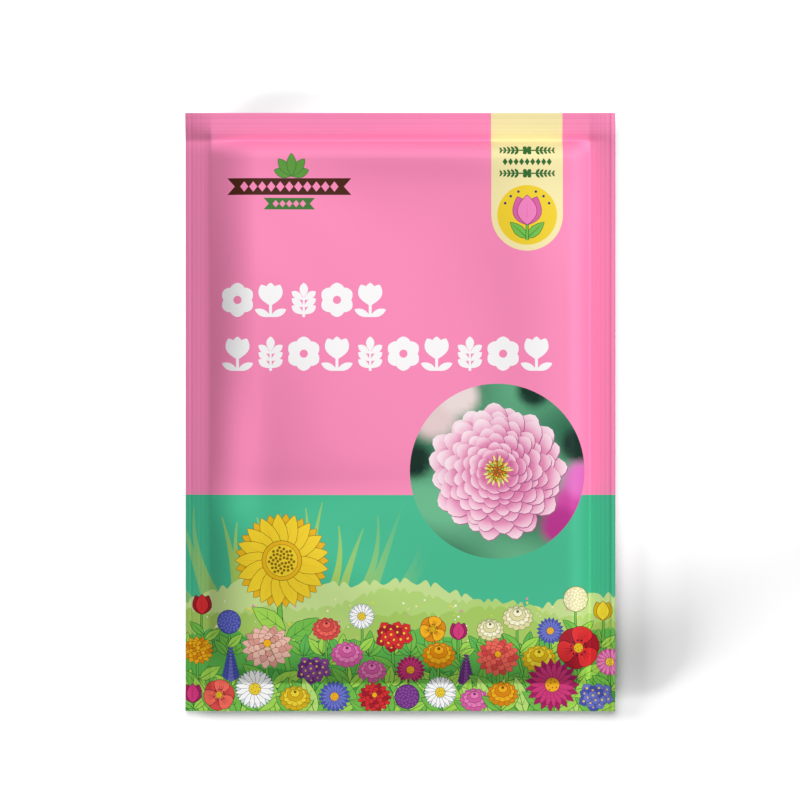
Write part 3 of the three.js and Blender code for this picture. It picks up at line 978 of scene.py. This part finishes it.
def holds(outline, x, y):
    """Which points lie in an outline, by the even-odd rule."""
    x0, y0 = outline[:, 0, None], outline[:, 1, None]
    x1, y1 = np.roll(x0, -1, 0), np.roll(y0, -1, 0)
    crosses = (y0 > y) != (y1 > y)
    rise_of_side = np.where(y1 == y0, 1, y1 - y0)
    return (crosses & (x < x0 + (y - y0) * (x1 - x0) / rise_of_side)).sum(0) % 2 == 1


def top_ink(outlines, x, y):
    """For each point the number of the last ink laid over it."""
    order = np.argsort(x)
    sorted_x = x[order]
    top = np.zeros(len(x), int)
    for number, outline in enumerate(outlines):
        (x_low, y_low), (x_high, y_high) = outline.min(0), outline.max(0)
        near = order[slice(*np.searchsorted(sorted_x, (x_low, x_high)))]
        near = near[(y[near] > y_low) & (y[near] < y_high)]
        if len(near):
            top[near[holds(outline, x[near], y[near])]] = number
    return top


def loops(outlines):
    """All the outlines' points in one array, and the edges that close each outline."""
    points = np.concatenate(outlines)
    edges = []
    start = 0
    for outline in outlines:
        here = start + np.arange(len(outline))
        edges.append(np.stack([here, np.roll(here, -1)], 1))
        start += len(outline)
    return points, np.concatenate(edges)


def sides_of(triangles):
    """The three sides of every triangle: all the first ones, then the second, then the third."""
    return np.concatenate([triangles[:, [0, 1]], triangles[:, [1, 2]], triangles[:, [2, 0]]])


def seen_borders(outlines):
    """The points and edges where one ink that shows meets another."""
    corners, triangles = triangulate(*loops(outlines))
    middle = corners[triangles].mean(1)
    label = top_ink(outlines, middle[:, 0], middle[:, 1])
    edge = np.sort(sides_of(triangles), 1)
    owner = np.tile(label, 3)
    order = np.lexsort((edge[:, 1], edge[:, 0]))
    edge, owner = edge[order], owner[order]
    border = (edge[1:] == edge[:-1]).all(1) & (owner[1:] != owner[:-1])
    return in_short_steps(corners[edge[1:][border]])


def in_short_steps(segments):
    """Points and edges that split each segment evenly, into steps of BORDER_STEP at most."""
    length = np.linalg.norm(segments[:, 1] - segments[:, 0], axis=1)
    parts = np.ceil(length / BORDER_STEP).astype(int).clip(1)
    first = np.repeat(np.cumsum(parts + 1) - parts - 1, parts)
    step = np.arange(parts.sum()) - np.repeat(np.cumsum(parts) - parts, parts)
    edges = np.stack([first + step, first + step + 1], 1)
    which = np.repeat(np.arange(len(parts)), parts + 1)
    step = np.arange(len(which)) - np.repeat(np.cumsum(parts + 1) - parts - 1, parts + 1)
    share = (step / parts[which])[:, None]
    return segments[which, 0] * (1 - share) + segments[which, 1] * share, edges


def stations(half, seal):
    """Distances from the cut edge: close over the ribs and the crease, then wide."""
    close = np.linspace(0, seal, round(seal / RIB_STEP) + 1)
    crease = seal + np.array(CREASE_STEPS)
    wide = np.linspace(crease[-1], half, round((half - crease[-1]) / BELLY_STEP) + 1)[1:]
    return np.concatenate([close, crease]), wide


def lining_stations(half, seal):
    """Distances from the cut edge for the plain inside: close near the crease, then seven
    wide steps, then double ones."""
    close, wide = stations(half, seal)
    pressed = np.linspace(0, seal, LINING_PARTS + 1)[1:]
    crease = np.append(seal - 1.4 * RIB_STEP, close[-3:])
    return np.unique(np.concatenate([pressed, crease, wide[:7], wide[8::2]]))


def both_ways(distances, half):
    """Distances from a cut edge as places from -half to half, from both edges."""
    return np.unique(np.round(np.concatenate([distances - half, half - distances]), 6))


def film_grid():
    """Points and edges of the film itself: lines along every rib, and points between."""
    close_x, wide_x = stations(HALF_WIDTH, SEAL_SIDE)
    close_y, wide_y = stations(HALF_HEIGHT, SEAL_END)
    across, along = both_ways(close_x, HALF_WIDTH), both_ways(close_y, HALF_HEIGHT)
    sparse_x = both_ways(np.concatenate([close_x, wide_x[1::2]]), HALF_WIDTH)
    sparse_y = both_ways(np.concatenate([close_y, wide_y[1::2]]), HALF_HEIGHT)
    points, edges = [], []
    count = 0
    for fixed, running, flip in ((across, sparse_y, False), (along, sparse_x, True)):
        lines = np.stack(np.meshgrid(fixed, running, indexing="ij"), -1)
        number = count + np.arange(lines[..., 0].size).reshape(lines.shape[:2])
        points.append((lines[..., ::-1] if flip else lines).reshape(-1, 2))
        edges.append(np.stack([number[:, :-1], number[:, 1:]], -1).reshape(-1, 2))
        count += number.size
    belly = np.meshgrid(both_ways(wide_x, HALF_WIDTH), both_ways(wide_y, HALF_HEIGHT))
    points.append(np.stack(belly, -1).reshape(-1, 2))
    return np.concatenate(points), np.concatenate(edges)


def outer_boundary(triangles):
    """The edges that only one triangle has, in that triangle's direction."""
    edge = sides_of(triangles)
    code = np.sort(edge, 1) @ np.array([triangles.max() + 1, 1])
    _, first, times = np.unique(code, return_index=True, return_counts=True)
    return edge[first[times == 1]]


def make_mesh(name, vertices, faces, material):
    """An object at the origin with a mesh given in millimetres."""
    mesh = bpy.data.meshes.new(name)
    mesh.from_pydata((np.asarray(vertices) * MM).tolist(), [], np.asarray(faces).tolist())
    mesh.materials.append(material)
    piece = bpy.data.objects.new(name, mesh)
    bpy.context.scene.collection.objects.link(piece)
    return piece


def flat_print(ink):
    """The film's triangles on the flat, parted where inks meet, and their corners' colours."""
    ink_points, ink_edges = seen_borders(ink.outlines)
    grid_points, grid_edges = film_grid()
    points = np.concatenate([grid_points, ink_points])
    edges = np.concatenate([grid_edges, ink_edges + len(grid_points)])
    flat, triangles = triangulate(points, edges)
    middle = flat[triangles].mean(1)
    kept = (np.abs(middle) < (HALF_WIDTH, HALF_HEIGHT)).all(1)
    triangles, middle = triangles[kept], middle[kept]
    used, triangles = np.unique(triangles, return_inverse=True)
    flat, triangles = flat[used], triangles.reshape(-1, 3)

    label = top_ink(ink.outlines, middle[:, 0], middle[:, 1])
    colours = np.ones((len(triangles), 3, 4))
    for number in np.unique(label):
        mine = label == number
        paint = ink.paints[number]
        at = flat[triangles[mine]]
        colours[mine, :, :3] = paint(at[..., 0], at[..., 1]) if callable(paint) else paint
    return flat, triangles, colours


def flat_lining(loop, loop_edges):
    """The plain inside on the flat, within a loop, and where each of the loop's points is."""
    lining_x = both_ways(lining_stations(HALF_WIDTH, SEAL_SIDE), HALF_WIDTH)
    lining_y = both_ways(lining_stations(HALF_HEIGHT, SEAL_END), HALF_HEIGHT)
    lining = np.stack(np.meshgrid(lining_x, lining_y), -1).reshape(-1, 2)
    inner, triangles = triangulate(np.concatenate([loop, lining]), loop_edges, LINING_MERGE)
    nearest = np.array([np.argmin(np.abs(inner - point).sum(1)) for point in loop])
    return inner, triangles[:, ::-1], nearest


def printed_film(name, ink, skin, facing, material):
    """A closed film: the printed outside, the plain inside, and the cut edge between them.

    The print is flat and is laid straight down on the outside's height. facing is 1 for the
    front, and -1 for the back, whose print is read from below, so its x is turned round."""
    outside, inside = film_sides(skin, facing)
    flat, printed, colours = flat_print(ink)
    rim = outer_boundary(printed)
    loop, rim_edges = np.unique(rim, return_inverse=True)
    rim_edges = rim_edges.reshape(-1, 2)
    cut = np.array([HALF_WIDTH, HALF_HEIGHT])
    at_cut = np.abs(np.abs(flat[loop]) - cut) < CUT_REACH
    flat[loop] = np.where(at_cut, np.copysign(cut, flat[loop]), flat[loop])
    inner, lined, nearest = flat_lining(flat[loop], rim_edges)

    x, y = flat[:, 0] * facing, flat[:, 1]
    inner_x, inner_y = inner[:, 0] * facing, inner[:, 1]
    skins = [(x, y, outside(x, y)), (inner_x, inner_y, inside(inner_x, inner_y))]
    vertices = np.concatenate([np.stack(skin_points, 1) for skin_points in skins])
    start, end = rim.T
    inner_start, inner_end = (nearest[rim_edges] + len(flat)).T
    walls = [np.stack([start, inner_start, end], 1), np.stack([end, inner_start, inner_end], 1)]
    walls = np.concatenate(walls)
    piece = make_mesh(name, vertices, np.concatenate([printed, lined + len(flat), walls]), material)

    plain = [np.broadcast_to((*INNER_FILM, 1), (len(lined), 3, 4))]
    plain.append(np.broadcast_to((*CUT_EDGE, 1), (len(walls), 3, 4)))
    layer = piece.data.color_attributes.new("print", "FLOAT_COLOR", "CORNER")
    every_colour = np.concatenate([colours, *plain]).astype(np.float32)
    layer.data.foreach_set("color", every_colour.ravel())

    a, b, c = (vertices[walls[:, k]] for k in range(3))
    upright = np.cross(b - a, c - a)
    upright /= np.linalg.norm(upright, axis=1)[:, None].clip(TINY)
    normals = [
        surface_normals(outside, x, y, facing)[printed],
        surface_normals(inside, inner_x, inner_y, -facing)[lined],
        np.repeat(upright[:, None], 3, 1),
    ]
    piece.data.normals_split_custom_set(np.concatenate(normals).reshape(-1, 3).tolist())
    return piece


def surface_normals(height, x, y, facing):
    """Unit normals (-dz/dx, -dz/dy, 1) of a height, turned over where facing is -1."""
    across, along = slopes(height, x, y)
    normal = np.stack([-across, -along, np.ones_like(x)], 1) * facing
    return normal / np.linalg.norm(normal, axis=1)[:, None]


# ---------------------------------------------------------------- materials
def feed(tree, node, inputs):
    """The node, with each of its inputs, by name or number, linked or set to a value."""
    for place, given in inputs.items():
        if isinstance(given, bpy.types.NodeSocket):
            tree.links.new(given, node.inputs[place])
        else:
            node.inputs[place].default_value = given
    return node


def add_node(tree, kind, inputs=None, **settings):
    """A new node with its settings and its inputs."""
    node = tree.nodes.new("ShaderNode" + kind)
    for name, value in settings.items():
        setattr(node, name, value)
    return feed(tree, node, inputs or {})


def math_node(tree, operation, first, second):
    """A Math node's result; each of its two inputs is a socket or a number."""
    return add_node(tree, "Math", {0: first, 1: second}, operation=operation).outputs[0]


def noise_node(tree, scale, detail, roughness=0.5):
    """A Noise texture's value at the object's own places; its scale is a socket or a number."""
    place = add_node(tree, "TexCoord").outputs["Object"]
    inputs = {"Vector": place, "Scale": scale, "Detail": detail, "Roughness": roughness}
    return add_node(tree, "TexNoise", inputs).outputs["Fac"]


def principled(name):
    """A new material, its node tree and its Principled shader."""
    material = bpy.data.materials.new(name)
    material.use_nodes = True
    tree = material.node_tree
    return material, tree, tree.nodes["Principled BSDF"]


def surface_grain():
    """A group that mottles a colour and a roughness, and gives the height of a fine grain.

    Colour is scaled by 1 + mottle * (fine + broad - 1), and roughness moves by spread times
    (fine + broad - 1)."""
    group = bpy.data.node_groups.new("surface_grain", "ShaderNodeTree")
    numbers = {
        "Mottle": 0.05,
        "Roughness": 0.4,
        "Spread": 0.1,
        "Grain scale": 4000.0,
        "Patch scale": 60.0,
    }
    socket = group.interface.new_socket
    socket("Colour", in_out="INPUT", socket_type="NodeSocketColor")
    for label, value in numbers.items():
        socket(label, in_out="INPUT", socket_type="NodeSocketFloat").default_value = value
    socket("Colour", in_out="OUTPUT", socket_type="NodeSocketColor")
    for label in ("Roughness", "Height"):
        socket(label, in_out="OUTPUT", socket_type="NodeSocketFloat")
    given = group.nodes.new("NodeGroupInput").outputs
    fine = noise_node(group, given["Grain scale"], 2.0)
    broad = noise_node(group, given["Patch scale"], 3.0)
    both = math_node(group, "ADD", fine, broad)
    centred = math_node(group, "SUBTRACT", both, 1.0)
    gain = math_node(group, "MULTIPLY", centred, given["Mottle"])
    scaling = {0: given["Colour"], "Scale": math_node(group, "ADD", gain, 1.0)}
    wander = math_node(group, "MULTIPLY", centred, given["Spread"])
    results = {
        "Colour": add_node(group, "VectorMath", scaling, operation="SCALE").outputs[0],
        "Roughness": math_node(group, "ADD", wander, given["Roughness"]),
        "Height": both,
    }
    feed(group, group.nodes.new("NodeGroupOutput"), results)
    return group


GRAIN = surface_grain()


def grained_material(name, settings, bump_height, gloss, colour):
    """A Principled material whose colour, roughness and bump all come through the grain.

    Colour is a function that adds the nodes of the colour to a tree."""
    material, tree, shader = principled(name)
    inputs = {"Colour": colour(tree), **settings}
    grained = add_node(tree, "Group", inputs, node_tree=GRAIN).outputs
    bump = add_node(tree, "Bump", {"Distance": bump_height * MM, "Height": grained["Height"]})
    finish = {
        "Base Color": grained["Colour"],
        "Roughness": grained["Roughness"],
        "Normal": bump.outputs["Normal"],
        "Specular IOR Level": gloss,
    }
    feed(tree, shader, finish)
    return material


def printed_colour(tree):
    """The colour that the film's own mesh carries."""
    return add_node(tree, "Attribute", attribute_name="print").outputs["Color"]


def seed_colour(tree):
    """Grey-brown with darker streaks of a few tenths of a millimetre."""
    ramp = add_node(tree, "ValToRGB", {"Fac": noise_node(tree, 900.0, 4.0, 0.6)})
    for stop, position, code in zip(ramp.color_ramp.elements, (0.35, 0.68), SEED_COLOURS):
        stop.position = position
        stop.color = (*ink_colour(code), 1)
    return ramp.outputs["Color"]


# ---------------------------------------------------------------- the pieces
def dress(piece, node):
    """The piece stands for a CAD node, whose part it hides, and rides on the only body."""
    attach(piece, "root")
    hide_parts(node)


def packet():
    """The two films."""
    print_finish = {"Mottle": 0.02, "Roughness": 0.58, "Spread": 0.1, "Grain scale": 5000.0}
    film = grained_material("printed film", print_finish, 0.002, 0.15, printed_colour)
    front = printed_film("printed_front", front_print(), front_skin, 1, film)
    dress(front, "film_front")
    back = printed_film("printed_back", back_print(), back_skin, -1, film)
    dress(back, "film_back")
    return [front, back]


def seed(name, node, coat):
    """A seed in place of its CAD node, with the same middle, direction and extents.

    Half its width, and half its thickness too, go as sin(pi s^2.2)^0.35 from the foot at
    s = 0 to the crown at s = 1, and its section has eight faint lengthwise ribs. Its rings
    lie at s = t^0.9, with t in even steps."""
    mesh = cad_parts[node].data
    corners = np.empty(3 * len(mesh.vertices))
    mesh.vertices.foreach_get("co", corners)
    corners = corners.reshape(-1, 3) / MM
    mean = corners[:, :2].mean(0)
    _, axes = np.linalg.eigh(np.cov((corners[:, :2] - mean).T))
    along = axes[:, 1]
    reach = (corners[:, :2] - mean) @ along
    if reach.max() > -reach.min():
        along, reach = -along, -reach
    aside = np.array([-along[1], along[0]])
    spread = (corners[:, :2] - mean) @ aside
    low, high = corners[:, 2].min(), corners[:, 2].max()

    s = np.linspace(0, 1, SEED_RINGS + 2)[1:-1] ** 0.9
    swelling = np.sin(math.pi * s**2.2) ** 0.35
    angle = np.linspace(0, TURN, SEED_SIDES, endpoint=False)
    section = (1 + 0.035 * np.cos(8 * angle)) / 1.035
    across = np.outer(swelling, section * np.cos(angle)) * np.ptp(spread) / 2
    upwards = np.outer(swelling, section * np.sin(angle)) * (high - low) / 2
    run = np.repeat(reach.min() + s * np.ptp(reach), SEED_SIDES)
    across, upwards = (np.pad(part.ravel(), 1) for part in (across, upwards))
    run = np.concatenate([[reach.min()], run, [reach.max()]])
    middle = mean + aside * (spread.max() + spread.min()) / 2
    flat = middle + np.outer(run, along) + np.outer(across, aside)
    points = np.column_stack([flat, upwards + (low + high) / 2])

    ring = 1 + np.arange(SEED_RINGS * SEED_SIDES).reshape(SEED_RINGS, SEED_SIDES)
    after = np.roll(ring, -1, 1)
    faces = (
        (np.zeros_like(ring[:1]), after[:1], ring[:1]),
        (ring[:-1], after[:-1], after[1:]),
        (ring[:-1], after[1:], ring[1:]),
        (ring[-1:], after[-1:], np.full_like(ring[:1], len(points) - 1)),
    )
    faces = np.concatenate([np.stack(corners, -1).reshape(-1, 3) for corners in faces])
    piece = make_mesh(name, points, faces, coat)
    piece.data.shade_smooth()
    dress(piece, node)


def seeds():
    """Every CAD seed, finer."""
    finish = {"Mottle": 0.25, "Roughness": 0.72, "Spread": 0.12, "Grain scale": 4000.0}
    coat = grained_material("seed coat", finish, 0.03, 0.3, seed_colour)
    for node in sorted(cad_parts):
        if node.startswith("seed_"):
            seed("fine_" + node, node, coat)


films = packet()
seeds()

# ---------------------------------------------------------------- floor, light and camera
PHOTO_SIDE = 800
PACKET_WIDTH_PX = 428.9
PACKET_MIDDLE_PX = (400.2, 412.1)
CAMERA_HEIGHT = 1.5
SPOT_HEIGHT = 1.2
VIEW_WIDTH = PHOTO_SIDE / PACKET_WIDTH_PX * 2 * HALF_WIDTH * MM
FLOOR_WHITE = 0.95  # as the camera sees it
FLOOR_BOUNCE = 0.3  # as other surfaces see it
FLOOR_REACH = 3000
FLOOR_LEVEL = -0.05


def floor():
    """A plain white floor, which throws less light back at the packet than it shows."""
    material, tree, shader = principled("floor")
    bounce, white = ((level, level, level, 1) for level in (FLOOR_BOUNCE, FLOOR_WHITE))
    seen = add_node(tree, "LightPath").outputs["Is Camera Ray"]
    shade = add_node(tree, "Mix", {"A": bounce, "B": white, "Factor": seen}, data_type="RGBA")
    feed(tree, shader, {"Base Color": shade.outputs["Result"], "Roughness": 0.9})
    signs = ((-1, -1), (1, -1), (1, 1), (-1, 1))
    corners = [(FLOOR_REACH * x, FLOOR_REACH * y, FLOOR_LEVEL) for x, y in signs]
    ground = make_mesh("floor", corners, [(0, 1, 2, 3)], material)
    return ground


def lamp(name, kind, power, azimuth, elevation, aim=(0, 0), distance=1.2):
    """A lamp that looks at a point of the floor. Azimuth 0 is to the right, 90 up."""
    data = bpy.data.lights.new(name, kind)
    data.energy = power
    lamp_object = bpy.data.objects.new(name, data)
    bpy.context.scene.collection.objects.link(lamp_object)
    a, e = math.radians(azimuth), math.radians(elevation)
    towards = Vector((math.cos(a) * math.cos(e), math.sin(a) * math.cos(e), math.sin(e)))
    lamp_object.location = towards * distance + Vector((*aim, 0)) * MM
    lamp_object.rotation_euler = towards.to_track_quat("Z", "Y").to_euler()
    return lamp_object


def camera():
    """A long lens straight above, framed as the photograph is."""
    data = bpy.data.cameras.new("camera")
    data.lens = data.sensor_width * CAMERA_HEIGHT / VIEW_WIDTH
    eye = bpy.data.objects.new("camera", data)
    per_pixel = VIEW_WIDTH / PHOTO_SIDE
    eye.location = (
        (PHOTO_SIDE / 2 - PACKET_MIDDLE_PX[0]) * per_pixel,
        (PACKET_MIDDLE_PX[1] - PHOTO_SIDE / 2) * per_pixel,
        CAMERA_HEIGHT,
    )
    bpy.context.scene.collection.objects.link(eye)
    bpy.context.scene.camera = eye


def only_lights(lamp_object, lit):
    """The lamp lights these objects alone, while everything still casts its shadow."""
    group = bpy.data.collections.new(lamp_object.name + "_lights")
    for each in lit:
        group.objects.link(each)
    lamp_object.light_linking.receiver_collection = group


def sun(name, level, azimuth, elevation, width, ground):
    """A sun for the floor alone: level is the brightness that it gives the floor, and width
    is its own width in degrees, which blurs its shadows."""
    strength = level * math.pi / (FLOOR_WHITE * math.sin(math.radians(elevation)))
    lamp_object = lamp(name, "SUN", strength, azimuth, elevation)
    lamp_object.data.angle = math.radians(width)
    only_lights(lamp_object, [ground])


def wash(name, power, aim, reach, blend, ground):
    """A spot straight above the floor, with its reach in millimetres round its aim."""
    lamp_object = lamp(name, "SPOT", power, 0, 90, aim, SPOT_HEIGHT)
    lamp_object.data.spot_size = 2 * math.atan(reach * MM / SPOT_HEIGHT)
    lamp_object.data.spot_blend = blend
    lamp_object.data.shadow_soft_size = 0.005
    only_lights(lamp_object, [ground])


def lamps(ground):
    """A soft key from the upper right on the packet. For the floor, three suns from the left
    and from above, whose shadows two spots wash out beside the packet's upper part."""
    key = lamp("packet_key", "AREA", 104, 38, 54, distance=3.0)
    key.data.size = 1.0
    only_lights(key, films)
    sun("low_sun", 0.335, 200, 9, 16, ground)
    sun("side_sun", 0.21, 160, 25, 25, ground)
    sun("high_sun", 0.465, 105, 62, 40, ground)
    wash("floor_wash", 32, (25, 20), 80, 0.7, ground)
    wash("edge_wash", 6.4, (25, 40), 100, 0.15, ground)


lamps(floor())
camera()
world = bpy.data.worlds.new("studio")
world.use_nodes = True
background = world.node_tree.nodes["Background"]
background.inputs["Color"].default_value = (1, 1, 1, 1)
background.inputs["Strength"].default_value = 0.05
bpy.context.scene.world = world
bpy.context.scene.view_settings.view_transform = "Standard"
